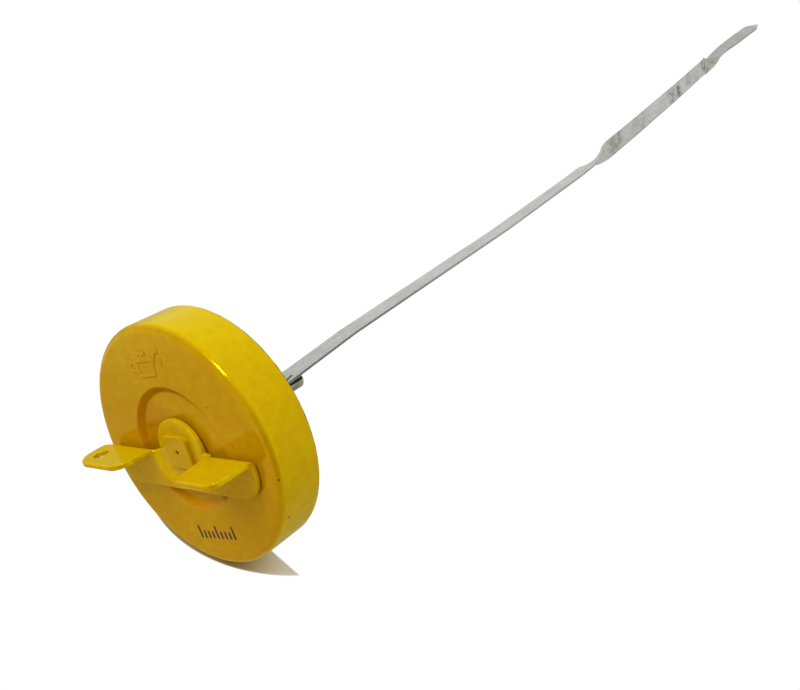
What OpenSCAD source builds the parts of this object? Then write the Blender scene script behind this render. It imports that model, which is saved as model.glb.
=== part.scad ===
// Oil filler cap with a wing handle and a flat gauge blade.
// Millimetres. +Z is out through the face of the cap and the blade hangs towards -Z.
// The origin is on the axis of the cap, in the plane where the gasket meets the filler neck.

/* [Cap shell] */
// Outside diameter of the skirt
cap_d = 76; // [72:0.5:84]
// Height of the skirt, from the face to the rim
skirt_h = 15.4; // [14.8:0.2:22]
// Thickness of the pressed sheet
shell_t = 1.2; // [0.8:0.1:1.6]
// Outer radius between the face and the skirt
face_corner_r = 2.4; // [1.8:0.1:4]
// Width of the flat ring of the face, from the well to the outside of the skirt
face_ring_w = 18.6; // [16:0.1:20]
// Width of the sloping wall of the well, seen from above
well_slope = 1.9; // [1.5:0.1:3]
// Depth of the well
well_depth = 1.5; // [1.2:0.1:2.4]
// Radius of the bends at the top and foot of the well's wall
well_bend_r = 1; // [0.4:0.1:1.4]

/* [Gasket and retainer] */
// Thickness of the gasket
gasket_t = 3.2; // [2:0.1:4.5]
// Width of the gasket ring
gasket_w = 6.6; // [5:0.1:8]
// Gap between the gasket and the inside corner of the shell
gasket_fit = 0.2; // [0.1:0.05:0.5]
// Thickness of the retainer's sheet
retainer_t = 0.8; // [0.5:0.1:1.2]
// Width of the retainer's flange under the face
retainer_flange_w = 4.6; // [3:0.1:5]
// How far the retainer's edge stays back from the seat plane
retainer_setback = 0.5; // [0.2:0.1:1]

/* [Wing handle] */
// Thickness of the handle's plate
plate_t = 1.6; // [1.2:0.1:2.2]
// Gap between the arms and the face
arm_gap = 0.3; // [0.2:0.05:0.6]
// Reach of the plain wing and its arm from the axis
plain_reach = 31; // [28:0.5:35]
// Reach of the arm under the wing that has the lanyard hole
lanyard_arm_reach = 32.5; // [30:0.5:35]
// Reach of the wing that has the lanyard hole
lanyard_reach = 36.4; // [34:0.2:37.4]
// Width of the arms, from the wings' outer face to the lower edge
arm_w = 12.3; // [11:0.1:16]
// Radius of the arms' end corners
arm_corner_r = 7.5; // [4:0.5:9]
// Diameter of the round hub
hub_d = 19.4; // [18.4:0.2:21]
// Diameter of the flat floor of the hub's dish
dish_d = 21.6; // [21.2:0.2:23]
// Width of the dish's sloping wall
dish_slope = 2; // [1.4:0.1:2.2]
// Height of the plain wing above the arms' underside
wing_h = 15; // [11:0.5:18]
// Height of the wing with the lanyard hole above the arms' underside
lanyard_wing_h = 13.4; // [12:0.2:18]
// Distance from the axis to a wing's inner end at its root
wing_root = 12.6; // [12:0.1:14]
// How far the wings' inner ends lean outwards at the top
wing_lean = 1.6; // [0:0.2:4]
// How far the plain wing's outer end leans inwards at the top
wing_outer_lean = 0.6; // [0:0.2:3]
// Radius of the wings' inner top corners
wing_inner_r = 3.4; // [2:0.2:5]
// Radius of the plain wing's outer top corner
wing_outer_r = 4; // [2:0.2:5]
// Inside radius of the fold between arm and wing
fold_r = 0.7; // [0.4:0.1:1.5]
// Diameter of the lanyard hole
lanyard_hole_d = 4.6; // [3:0.1:5.5]
// Distance from the wing's outer end to the middle of the lanyard hole
lanyard_margin = 6; // [4.6:0.1:8]
// Height of the lanyard hole above the arms' underside
lanyard_rise = 7.5; // [6:0.1:8.5]

/* [Stem] */
// Diameter of the stem
stem_d = 6; // [5:0.1:7]
// Width across the flats of the square head
head_w = 10.4; // [9:0.1:12]
// Thickness of the head
head_t = 1.3; // [1:0.1:3]
// Radius of the head's corners
head_corner_r = 2.3; // [1:0.1:3]
// Radius along the head's top edges
head_edge_r = 0.5; // [0.2:0.1:0.9]
// Width of the square neck that drives the handle
square_w = 7.6; // [7.2:0.1:8.4]
// Width across the flats that drive the lock bar
drive_flats = 3.8; // [3.6:0.1:4.8]
// Height of the tongue's flat, where the blade lies, off the stem's axis
tongue_flat = 1; // [0.6:0.1:1.4]
// Distance from the face to the end of the stem
stem_reach = 49.6; // [48:0.5:60]
// Diameter of the punched dimple in the head
dimple_d = 1.7; // [1:0.1:2.5]

/* [Lock and spring] */
// Thickness of the washer under the handle's hub
hub_washer_t = 0.7; // [0.5:0.1:1.1]
// Diameter of the washer under the handle's hub
hub_washer_d = 16; // [14:0.5:18]
// Thickness of the rubber stem seal
seal_t = 2; // [1:0.1:2.4]
// Diameter of the rubber stem seal
seal_d = 13; // [11:0.2:14]
// Thickness of the pressed seal cup
cup_t = 0.8; // [0.5:0.1:1]
// Diameter of the pressed seal cup
cup_d = 16.4; // [16:0.2:18]
// Length of the spring as fitted
spring_len = 6.5; // [5:0.1:8]
// Mean diameter of the spring
spring_d = 10.6; // [10:0.1:11.2]
// Diameter of the spring's wire
wire_d = 1.1; // [0.7:0.1:1.3]
// Number of turns in the spring
spring_turns = 3.5; // [3:0.5:4]
// Thickness of the washer between spring and lock bar
bar_washer_t = 0.8; // [0.5:0.1:1.2]
// Diameter of the washer between spring and lock bar
bar_washer_d = 14.5; // [13.5:0.5:15]
// Thickness of the lock bar
bar_t = 1.8; // [1.4:0.1:2.4]
// Length of the lock bar
bar_len = 56; // [50:0.5:57]
// Width of the lock bar's middle
bar_w = 17; // [16:0.5:20]
// Width of the lock bar's toes
toe_w = 11; // [8:0.5:14]
// Length of each toe
toe_len = 7; // [5:0.5:9]
// How far the toes are turned down, away from the neck's cams
toe_drop = 0.9; // [0.4:0.1:1.5]
// Diameter of the cross pin under the lock bar
pin_d = 2; // [1.5:0.1:2.4]
// Length of the cross pin
pin_len = 10; // [8:0.5:12]

/* [Gauge blade] */
// Width of the strip
blade_w = 8.7; // [7.6:0.1:10]
// Thickness of the strip
blade_t = 1; // [0.7:0.1:1.4]
// Distance from the face to the tip
blade_reach = 555; // [520:1:600]
// Distance from the face to the start of the quarter twist
twist_start = 265; // [200:1:280]
// Length of the quarter twist
twist_len = 25; // [15:1:40]
// Length of the level-reading stretch
level_len = 151.5; // [120:0.5:158]
// Length of the twist above the tip
tip_twist_len = 17; // [12:1:26]
// Angle of the twist above the tip
tip_twist = 88; // [0:1:90]
// How far each edge is spread at the kink where the twist above the tip starts
kink_spread = 0.5; // [0:0.1:0.8]
// Angle that the tip springs back
tip_spring_back = 17; // [0:1:20]
// Angle that the upper stretch has taken in use
upper_turn = 1; // [0:1:10]
// Length of the pointed end
point_len = 17; // [8:1:26]
// Lean of the strip where it leaves the stem
root_lean = 4.9; // [3:0.1:6]
// Lean of the level-reading stretch
level_lean = 6.4; // [3:0.1:8]
// Diameter of the rivets' shanks
rivet_d = 2.5; // [2:0.1:3]
// Diameter of the rivets' heads
rivet_head_d = 4.6; // [4:0.1:5.2]
// Height of the rivets' heads
rivet_head_h = 1.1; // [0.8:0.1:1.6]
// Distance between the rivets
rivet_pitch = 6.5; // [5.5:0.1:7]

/* [Hidden] */
$fn = 96;
corner_steps = 8;

// Running gap round the stem, and the slip fit of square, flats, pin and rivets
running_gap = 0.05;
slip_gap = 0.08;
pin_gap = 0.02;
// Gap between the cross pin and the lock bar that it holds
pin_seat = 0.02;
// Metal left under the cross pin's hole, and the space above the strip's round end
pin_land = 1.2;
blade_space = 0.8;

// Heights of the faces, from the top of the shell down
cap_r = cap_d / 2;
face_z = gasket_t + shell_t;
rim_z = face_z - skirt_h;
well_z = face_z - well_depth;
under_well_z = well_z - shell_t;
hub_z = well_z + hub_washer_t;
hub_top_z = hub_z + plate_t;
arm_z = face_z + arm_gap;
head_z = hub_top_z + head_t;
seal_z = under_well_z - seal_t;
cup_z = seal_z - cup_t;
spring_z = cup_z - spring_len;
bar_washer_z = spring_z - bar_washer_t;
bar_z = bar_washer_z - bar_t;
pin_z = bar_z - pin_seat - pin_d / 2;
tongue_z = pin_z - pin_d / 2 - pin_land;
stem_end_z = face_z - stem_reach;

// Radii that more than one piece uses
stem_r = stem_d / 2;
nose_r = stem_r - 0.3;
well_r = cap_r - face_ring_w;
well_floor_r = well_r - well_slope;
gasket_r = cap_r - max(face_corner_r, shell_t) - gasket_fit;
gasket_hole_r = gasket_r - gasket_w;
fold_outer_r = fold_r + plate_t;

// Blade stations, as distances below the face
tongue_d = face_z - tongue_z;
blade_top = tongue_d + blade_space;
rivet_first = blade_top + blade_w / 2;
blade_land_end = rivet_first + rivet_pitch + rivet_head_d / 2 + 1;
twist_end = twist_start + twist_len;
level_end = twist_end + level_len;
tip_twist_end = level_end + tip_twist_len;
blade_seat_y = tongue_flat + blade_t / 2;
blade_edge_r = 0.15;
upper_settle = 24;
tip_settle = 40;
tip_half_w = 0.15;
point_curve = 1.2;
kink_len = 3;
// Each bend of the strip: where it starts, and its lean from there on
bends = [
  [blade_land_end, root_lean],
  [76, 2.65],
  [180, 3.95],
  [twist_start - 13, 5.45],
  [twist_end, level_lean],
  [twist_end + 40, level_lean + 0.5],
  [twist_end + 100, level_lean + 1.1],
  [level_end, 7.6],
  [level_end + 15, 10.3],
  [level_end + 30, 5.3],
  [level_end + 79, 4.9],
  [level_end + 100, 0],
  [blade_reach, 0]
];

// Unit vector
function unit(v) = v / norm(v);

// Points of one corner, rounded to r; a corner with no radius stays sharp
function corner(before, at, after, r) =
  r == 0 ? [at] :
  let (
    a = unit(before - at),
    b = unit(after - at),
    half = acos(a * b) / 2,
    centre = at + unit(a + b) * r / sin(half),
    from = at + a * r / tan(half) - centre,
    to = at + b * r / tan(half) - centre,
    start = atan2(from[1], from[0]),
    sweep = (atan2(to[1], to[0]) - start + 540) % 360 - 180
  )
  [for (i = [0:corner_steps])
    centre + r * [cos(start + sweep * i / corner_steps), sin(start + sweep * i / corner_steps)]];

// Outline with rounded corners from a list of [x, y, radius]
function rounded(path) =
  let (n = len(path), flat = [for (p = path) [p[0], p[1]]])
  [for (i = [0:n - 1])
    each corner(flat[(i + n - 1) % n], flat[i], flat[(i + 1) % n], path[i][2])];

// Ring of rectangular section, given as inner radius, outer radius, bottom and height
module ring(inner_r, outer_r, z, h) {
  translate([0, 0, z])
    difference() {
      cylinder(r = outer_r, h = h);
      translate([0, 0, -1]) cylinder(r = inner_r, h = h + 2);
    }
}

// Extrudes an outline drawn in X and Z along Y, between two values of Y
module along_y(y_from, y_to) {
  translate([0, y_to, 0]) rotate([90, 0, 0]) linear_extrude(y_to - y_from) children();
}

// Extrudes an outline drawn in Y and Z along X, between two values of X
module along_x(x_from, x_to) {
  translate([x_from, 0, 0]) rotate([90, 0, 90]) linear_extrude(x_to - x_from) children();
}

// Closed skin through equal rings of points, with a flat cap on each end
module skin(rings) {
  n = len(rings[0]);
  last = len(rings) - 1;
  points = [for (ring = rings) each ring];
  sides = [for (i = [0:last - 1]) for (k = [0:n - 1])
    let (a = i * n + k, b = i * n + (k + 1) % n)
    each [[a, b, a + n], [b, b + n, a + n]]];
  top = [for (k = [n - 1:-1:0]) k];
  bottom = [for (k = [0:n - 1]) last * n + k];
  polyhedron(points, concat([top], sides, [bottom]), convexity = 6);
}

// Pressed shell: face, sunken well, rounded corner and skirt, drawn as one profile
module cap_shell() {
  wall_angle = atan(well_depth / well_slope);
  shift = shell_t * tan(wall_angle / 2);
  hole_r = stem_r + running_gap;
  edge_r = shell_t * 0.35;
  profile = [
    [hole_r, well_z, 0],
    [well_floor_r, well_z, well_bend_r],
    [well_r, face_z, well_bend_r],
    [cap_r, face_z, face_corner_r],
    [cap_r, rim_z, edge_r],
    [cap_r - shell_t, rim_z, edge_r],
    [cap_r - shell_t, face_z - shell_t, face_corner_r - shell_t],
    [well_r + shift, face_z - shell_t, well_bend_r],
    [well_floor_r + shift, under_well_z, well_bend_r],
    [hole_r, under_well_z, 0]
  ];
  color([0.86, 0.68, 0.04]) rotate_extrude() polygon(rounded(profile));
}

// Flat sealing ring against the underside of the face
module gasket() {
  color([0.13, 0.13, 0.13]) ring(gasket_hole_r, gasket_r, 0, gasket_t);
}

// Pressed ring welded under the face, whose web holds the gasket's inner edge
module gasket_retainer() {
  web_r = gasket_hole_r - pin_gap;
  flange_r = web_r - retainer_t - retainer_flange_w;
  top_z = face_z - shell_t;
  profile = [
    [flange_r, top_z, 0],
    [web_r, top_z, retainer_t],
    [web_r, retainer_setback, 0],
    [web_r - retainer_t, retainer_setback, 0],
    [web_r - retainer_t, top_z - retainer_t, 0.3],
    [flange_r, top_z - retainer_t, 0]
  ];
  color([0.72, 0.73, 0.74]) rotate_extrude() polygon(rounded(profile));
}

// Rubber washer that keeps oil from creeping up the stem
module stem_seal() {
  color([0.1, 0.1, 0.1]) ring(stem_r + running_gap, seal_d / 2, seal_z, seal_t);
}

// Outline of the arms and hub from above, without the strips that fold up into the wings
module handle_plan() {
  fold_y = -fold_outer_r;
  notch_y = -0.6;
  arms = [
    [-lanyard_arm_reach, fold_y, 0],
    [-lanyard_arm_reach, -arm_w, arm_corner_r],
    [plain_reach, -arm_w, arm_corner_r],
    [plain_reach, fold_y, 0],
    [wing_root, fold_y, 0],
    [wing_root, notch_y, 0],
    [-wing_root, notch_y, 0],
    [-wing_root, fold_y, 0]
  ];
  polygon(rounded(arms));
  circle(d = hub_d);
}

// Plate with its dished hub, as a turned profile
module dish() {
  lift = arm_z - hub_z;
  out_r = lanyard_reach + 10;
  slope_angle = atan(lift / dish_slope);
  shift = plate_t * tan(slope_angle / 2);
  foot_r = dish_d / 2;
  profile = [
    [0, hub_z, 0],
    [foot_r + shift, hub_z, 0.6],
    [foot_r + shift + dish_slope, arm_z, 0.6],
    [out_r, arm_z, 0],
    [out_r, arm_z + plate_t, 0],
    [foot_r + dish_slope, arm_z + plate_t, 0.6],
    [foot_r, hub_top_z, 0.6],
    [0, hub_top_z, 0]
  ];
  rotate_extrude() polygon(rounded(profile));
}

// Section of the fold: a strip of arm, the bend and a wing of height h, seen along the fold
module fold_section(h) {
  strip = plate_t + fold_r + 1;
  edge_r = plate_t * 0.42;
  section = [
    [-strip, arm_z, 0],
    [0, arm_z, fold_outer_r],
    [0, arm_z + h, edge_r],
    [-plate_t, arm_z + h, edge_r],
    [-plate_t, arm_z + plate_t, fold_r],
    [-strip, arm_z + plate_t, 0]
  ];
  polygon(rounded(section));
}

// Outline of the plain wing, seen square on
module plain_wing_outline() {
  top = arm_z + wing_h;
  outline = [
    [wing_root, arm_z - 1, 0],
    [wing_root, arm_z + plate_t, 0],
    [wing_root + wing_lean, top, wing_inner_r],
    [plain_reach - wing_outer_lean, top, wing_outer_r],
    [plain_reach, arm_z + fold_outer_r, 0],
    [plain_reach, arm_z - 1, 0]
  ];
  polygon(rounded(outline));
}

// Outline of the wing with the lanyard hole: its outer end is rounded about the hole
module lanyard_wing_outline() {
  top = arm_z + lanyard_wing_h;
  outline = [
    [-lanyard_arm_reach, arm_z - 1, 0],
    [-lanyard_arm_reach, arm_z, 0],
    [-lanyard_reach, arm_z + fold_outer_r, 1.5],
    [-lanyard_reach, top, lanyard_wing_h * 0.48],
    [-wing_root - wing_lean, top, wing_inner_r + 2.6],
    [-wing_root, arm_z + plate_t, 0],
    [-wing_root, arm_z - 1, 0]
  ];
  polygon(rounded(outline));
}

// Folded plate handle: two arms, a dished hub and two wings
module wing_handle() {
  hole_w = square_w + 2 * slip_gap;
  hole_x = -lanyard_reach + lanyard_margin;
  hole_z = arm_z + lanyard_rise;
  color([0.88, 0.7, 0.03])
    difference() {
      union() {
        intersection() {
          translate([0, 0, hub_z - 1]) linear_extrude(wing_h) handle_plan();
          dish();
        }
        intersection() {
          along_x(wing_root, plain_reach) fold_section(wing_h);
          along_y(-fold_outer_r - 1, 1) plain_wing_outline();
        }
        intersection() {
          along_x(-lanyard_reach, -wing_root) fold_section(lanyard_wing_h);
          along_y(-fold_outer_r - 1, 1) lanyard_wing_outline();
        }
      }
      translate([-hole_w / 2, -hole_w / 2, hub_z - 1]) cube([hole_w, hole_w, plate_t + 2]);
      translate([hole_x, 1, hole_z]) rotate([90, 0, 0]) cylinder(d = lanyard_hole_d, h = plate_t + 2);
    }
}

// Washer that the handle's hub turns on
module hub_washer() {
  color([0.7, 0.71, 0.72]) ring(stem_r + running_gap, hub_washer_d / 2, well_z, hub_washer_t);
}

// Square head with softened top edges
module stem_head() {
  w = head_w / 2;
  side = [
    [-w, hub_top_z, 0],
    [w, hub_top_z, 0],
    [w, head_z, head_edge_r],
    [-w, head_z, head_edge_r]
  ];
  plan = [
    [-w, -w, head_corner_r],
    [w, -w, head_corner_r],
    [w, w, head_corner_r],
    [-w, w, head_corner_r]
  ];
  intersection() {
    translate([0, 0, hub_top_z]) linear_extrude(head_t) polygon(rounded(plan));
    along_y(-w, w) polygon(rounded(side));
    along_x(-w, w) polygon(rounded(side));
  }
}

// Stem: head, square neck, round shank, driving flats and the tongue for the blade
module stem() {
  dimple_depth = dimple_d * 0.45;
  flats_h = spring_z - stem_end_z;
  shank = [
    [0, stem_end_z, 0],
    [stem_r, stem_end_z, nose_r],
    [stem_r, spring_z, 0],
    [0, spring_z, 0]
  ];
  color([0.75, 0.76, 0.77])
    difference() {
      union() {
        stem_head();
        translate([-square_w / 2, -square_w / 2, hub_z]) cube([square_w, square_w, plate_t]);
        translate([0, 0, spring_z]) cylinder(r = stem_r, h = hub_z - spring_z);
        intersection() {
          rotate_extrude() polygon(rounded(shank));
          translate([-stem_r, -drive_flats / 2, stem_end_z]) cube([stem_d, drive_flats, flats_h]);
        }
      }
      translate([-stem_d, tongue_flat, stem_end_z - 1]) cube([2 * stem_d, stem_d, tongue_z - stem_end_z + 1]);
      translate([0, 0, head_z - dimple_depth]) cylinder(d1 = 0.2, d2 = dimple_d, h = dimple_depth + 0.01);
      translate([0, drive_flats, pin_z])
        rotate([90, 0, 0]) cylinder(r = pin_d / 2 + pin_gap, h = 2 * drive_flats);
      rivet_holes();
    }
}

// Pressed cup that keeps the seal in place and takes the spring
module seal_cup() {
  outer_r = cup_d / 2;
  lip_z = seal_z + seal_t * 0.6;
  profile = [
    [stem_r + running_gap, cup_z, 0],
    [outer_r, cup_z, cup_t],
    [outer_r, lip_z, 0],
    [outer_r - cup_t, lip_z, 0],
    [outer_r - cup_t, seal_z, 0.2],
    [stem_r + running_gap, seal_z, 0]
  ];
  color([0.72, 0.73, 0.74]) rotate_extrude() polygon(rounded(profile));
}

// Height of the spring's wire after a number of turns: one close turn at each end, open turns between
function coil_z(turn, turns, close, open) =
  close * min(turn, 1) + open * min(max(turn - 1, 0), turns - 2) + close * max(turn - turns + 1, 0);

// Compression spring that keeps the handle down and the seal tight
module spring() {
  sides = 8;
  steps_a_turn = 20;
  seat = 0.01;
  close = wire_d + running_gap;
  rise = spring_len - wire_d - 2 * seat;
  turns = min(spring_turns, rise / close);
  open = (rise - 2 * close) / (turns - 2);
  steps = ceil(turns * steps_a_turn);
  low = spring_z + wire_d / 2 + seat;
  rings = [for (i = [0:steps])
    let (turn = turns * i / steps, around = 360 * turn, z = low + coil_z(turn, turns, close, open))
    [for (k = [0:sides - 1])
      let (a = -360 * k / sides, r = spring_d / 2 + wire_d / 2 * cos(a))
      [r * cos(around), r * sin(around), z + wire_d / 2 * sin(a)]]];
  color([0.6, 0.61, 0.63]) skin(rings);
}

// Washer between the spring and the lock bar
module bar_washer() {
  color([0.7, 0.71, 0.72]) ring(stem_r + running_gap, bar_washer_d / 2, bar_washer_z, bar_washer_t);
}

// Side view of the lock bar, with its toes turned down
module lock_bar_side() {
  half = bar_len / 2;
  knee = half - toe_len;
  side = [
    [-half, bar_z - toe_drop, 0],
    [-knee, bar_z, 2],
    [knee, bar_z, 2],
    [half, bar_z - toe_drop, 0],
    [half, bar_z + bar_t - toe_drop, 0.6],
    [knee, bar_z + bar_t, 3],
    [-knee, bar_z + bar_t, 3],
    [-half, bar_z + bar_t - toe_drop, 0.6]
  ];
  polygon(rounded(side));
}

// Plan of the lock bar: a wide middle that narrows to two round-cornered toes
module lock_bar_plan() {
  half = bar_len / 2;
  waist = half - toe_len - 7;
  toe = toe_w / 2;
  w = bar_w / 2;
  plan = [
    [-half, -toe, 3],
    [-half + toe_len, -toe, 4],
    [-waist, -w, 4],
    [waist, -w, 4],
    [half - toe_len, -toe, 4],
    [half, -toe, 3],
    [half, toe, 3],
    [half - toe_len, toe, 4],
    [waist, w, 4],
    [-waist, w, 4],
    [-half + toe_len, toe, 4],
    [-half, toe, 3]
  ];
  polygon(rounded(plan));
}

// Stamped lock bar that turns under the cams of the filler neck
module lock_bar() {
  flats = drive_flats + 2 * slip_gap;
  depth = bar_t + toe_drop + 2;
  color([0.74, 0.75, 0.76])
    difference() {
      intersection() {
        translate([0, 0, bar_z - toe_drop - 1]) linear_extrude(depth) lock_bar_plan();
        along_y(-bar_w / 2, bar_w / 2) lock_bar_side();
      }
      intersection() {
        translate([0, 0, bar_z - 1]) cylinder(r = stem_r + slip_gap, h = bar_t + 2);
        translate([-stem_d, -flats / 2, bar_z - 1]) cube([2 * stem_d, flats, bar_t + 2]);
      }
    }
}

// Pin through the stem that the lock bar rests on
module cross_pin() {
  color([0.62, 0.63, 0.65])
    translate([0, pin_len / 2, pin_z]) rotate([90, 0, 0]) cylinder(d = pin_d, h = pin_len);
}

// Middle of the strip, off the stem's axis, at a distance below the face
function blade_y(d) =
  blade_seat_y + sum([for (i = [0:len(bends) - 2])
    max(0, min(d, bends[i + 1][0]) - bends[i][0]) * tan(bends[i][1])]);

function sum(list, i = 0) = i == len(list) ? 0 : list[i] + sum(list, i + 1);

// Share of the way from one station to the next, from 0 to 1
function share(d, from, to) = min(1, max(0, (d - from) / (to - from)));

// The same share, made to start and end more gently
function eased(d, from, to) = let (t = share(d, from, to)) t * (1 + 3 * t - 2 * t * t) / 2;

// Turn of the strip about its own middle at a distance below the face
function blade_turn(d) =
  upper_turn * eased(d, blade_land_end, blade_land_end + upper_settle)
  + (90 - upper_turn) * eased(d, twist_start, twist_end)
  + tip_twist * share(d, level_end, tip_twist_end)
  - tip_spring_back * eased(d, tip_twist_end, tip_twist_end + tip_settle);

// Half the width of the strip: round at the stem, spread at the kink, pointed at the tip
function blade_half_w(d) =
  let (w = blade_w / 2, from_top = d - blade_top, from_tip = blade_reach - d)
  from_top < w ? max(tip_half_w, sqrt(w * w - (w - from_top) * (w - from_top))) :
  from_tip < point_len ? tip_half_w + (w - tip_half_w) * (1 - pow(1 - from_tip / point_len, point_curve)) :
  w + kink_spread * max(0, 1 - abs(d - level_end) / kink_len);

// One ring of the strip: a rectangle with broken edges
function blade_ring(d) =
  let (
    w = blade_half_w(d),
    h = blade_t / 2,
    e = min(blade_edge_r, w / 3),
    a = blade_turn(d),
    along = [cos(a), sin(a), 0],
    across = [-sin(a), cos(a), 0],
    middle = [0, blade_y(d), face_z - d],
    one_side = [[w, h - e], [w, e - h], [w - e, -h], [e - w, -h]],
    section = concat(one_side, -one_side)
  )
  [for (p = section) middle + along * p[0] + across * p[1]];

// Flat gauge strip: land on the stem, upper stretch, quarter twist, level stretch and tip
module gauge_blade() {
  end_steps = 6;
  twist_steps = 24;
  stations = concat(
    [for (i = [0:end_steps]) blade_top + blade_w / 2 * (1 - cos(90 * i / end_steps))],
    [blade_land_end],
    [for (i = [1:4]) blade_land_end + upper_settle * i / 4],
    [for (i = [1:3]) bends[i][0]],
    [for (i = [0:twist_steps]) twist_start + twist_len * i / twist_steps],
    [bends[5][0], bends[6][0], level_end - kink_len],
    [for (i = [0:twist_steps]) level_end + tip_twist_len * i / twist_steps],
    [for (i = [1:8]) tip_twist_end + (blade_reach - point_len - tip_twist_end) * i / 8],
    [for (i = [1:end_steps]) blade_reach - point_len * (1 - sin(90 * i / end_steps))]
  );
  color([0.78, 0.79, 0.79])
    difference() {
      skin([for (d = stations) blade_ring(d)]);
      rivet_holes();
    }
}

// Heights of the two rivets
function rivet_z(i) = face_z - rivet_first - rivet_pitch * i;

// Holes for the rivets, through tongue and strip
module rivet_holes() {
  reach = stem_d + blade_t;
  for (i = [0:1])
    translate([0, reach, rivet_z(i)]) rotate([90, 0, 0]) cylinder(r = rivet_d / 2 + pin_gap, h = 2 * reach);
}

// Two rivets with domed heads on the strip and on the tongue's back flat
module blade_rivets() {
  back = -drive_flats / 2;
  front = tongue_flat + blade_t;
  head_r = rivet_head_d / 2;
  shank_r = rivet_d / 2;
  profile = [
    [0, back - rivet_head_h, 0],
    [shank_r, back - rivet_head_h, rivet_head_h * 0.6],
    [head_r, back - rivet_head_h * 0.3, 0],
    [head_r, back, 0],
    [shank_r, back, 0],
    [shank_r, front, 0],
    [head_r, front, 0],
    [head_r, front + rivet_head_h * 0.3, 0],
    [shank_r, front + rivet_head_h, rivet_head_h * 0.6],
    [0, front + rivet_head_h, 0]
  ];
  color([0.66, 0.67, 0.68])
    for (i = [0:1])
      translate([0, 0, rivet_z(i)]) rotate([-90, 0, 0]) rotate_extrude() polygon(rounded(profile));
}

cap_shell();
gasket();
gasket_retainer();
stem_seal();
wing_handle();
hub_washer();
stem();
seal_cup();
spring();
bar_washer();
lock_bar();
cross_pin();
gauge_blade();
blade_rivets();
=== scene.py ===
import math

import bmesh
import bpy
from mathutils import Matrix, Vector


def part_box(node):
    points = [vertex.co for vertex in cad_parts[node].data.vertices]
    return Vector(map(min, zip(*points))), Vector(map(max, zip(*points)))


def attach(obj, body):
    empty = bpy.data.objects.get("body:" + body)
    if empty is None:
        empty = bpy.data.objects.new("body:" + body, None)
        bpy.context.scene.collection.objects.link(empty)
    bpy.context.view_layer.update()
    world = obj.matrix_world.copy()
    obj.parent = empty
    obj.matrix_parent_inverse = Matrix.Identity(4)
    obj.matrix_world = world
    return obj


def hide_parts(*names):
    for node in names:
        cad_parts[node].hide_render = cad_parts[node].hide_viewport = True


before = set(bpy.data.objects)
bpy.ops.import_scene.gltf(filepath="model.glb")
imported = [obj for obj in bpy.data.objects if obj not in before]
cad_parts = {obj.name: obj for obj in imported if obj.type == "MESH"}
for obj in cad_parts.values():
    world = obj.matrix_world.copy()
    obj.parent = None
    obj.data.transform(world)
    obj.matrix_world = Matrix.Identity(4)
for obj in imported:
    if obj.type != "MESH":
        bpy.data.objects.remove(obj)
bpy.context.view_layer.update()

MM = 0.001

# Sizes of the cap: its radius and the heights of its face and rim come from its part in model.glb
cap_low, cap_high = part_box("cap_shell")
CAP_R = cap_high.x
FACE_Z = cap_high.z
RIM_Z = cap_low.z
FACE_RING_W = 18.6 * MM
WELL_R = CAP_R - FACE_RING_W

# The printed and raised signs are turned a little against the handle
SIGN_TURN = math.radians(6)


# Small helpers for shader trees

def put(tree, kind, sockets=None, **options):
    """Adds a node with its options, and sets or wires its sockets by name."""
    made = tree.nodes.new(kind)
    for name, value in options.items():
        setattr(made, name, value)
    for name, value in (sockets or {}).items():
        feed(tree, made.inputs[name], value)
    return made


def feed(tree, socket, value):
    """Wires another node's output into a socket, or sets a plain value."""
    if isinstance(value, bpy.types.NodeSocket):
        tree.links.new(value, socket)
    else:
        socket.default_value = value


def calc(tree, operation, *values):
    """One sum on numbers."""
    return put(tree, "ShaderNodeMath", dict(enumerate(values)), operation=operation).outputs[0]


def times(tree, *values):
    """The product of several numbers or masks."""
    product = values[0]
    for value in values[1:]:
        product = calc(tree, "MULTIPLY", product, value)
    return product


def most(tree, masks):
    """The strongest of several masks."""
    strongest = masks[0]
    for mask in masks[1:]:
        strongest = calc(tree, "MAXIMUM", strongest, mask)
    return strongest


def fade(tree, value, start, end):
    """0 where the value is at start, 1 where it is at end, and soft between them."""
    made = put(tree, "ShaderNodeMapRange",
               {"Value": value, "From Min": start, "From Max": end},
               interpolation_type="SMOOTHSTEP")
    return made.outputs["Result"]


def over(tree, value, edge):
    """1 where the value is over a soft edge, which is given by its low and its high end."""
    return fade(tree, value, edge[0], edge[1])


def under(tree, value, edge):
    """1 where the value is under a soft edge, which is given by its low and its high end."""
    return fade(tree, value, edge[1], edge[0])


def spot(tree, where, centre, inner, outer):
    """1 within inner of a point, 0 beyond outer, both in metres."""
    away = put(tree, "ShaderNodeVectorMath", {0: where, 1: centre}, operation="DISTANCE")
    return under(tree, away.outputs["Value"], (inner, outer))


def split(tree, vector):
    """The X, Y and Z of a vector."""
    return put(tree, "ShaderNodeSeparateXYZ", {"Vector": vector}).outputs


def off_axis(tree, at):
    """Distance from the cap's axis, from a place's X, Y and Z."""
    squares = calc(tree, "MULTIPLY_ADD", at["X"], at["X"], times(tree, at["Y"], at["Y"]))
    return calc(tree, "SQRT", squares)


def mix_colour(tree, share, first, second):
    """Goes from the first colour to the second as share goes from 0 to 1."""
    return put(tree, "ShaderNodeMix", {0: share, 6: first, 7: second}, data_type="RGBA").outputs[2]


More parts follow.
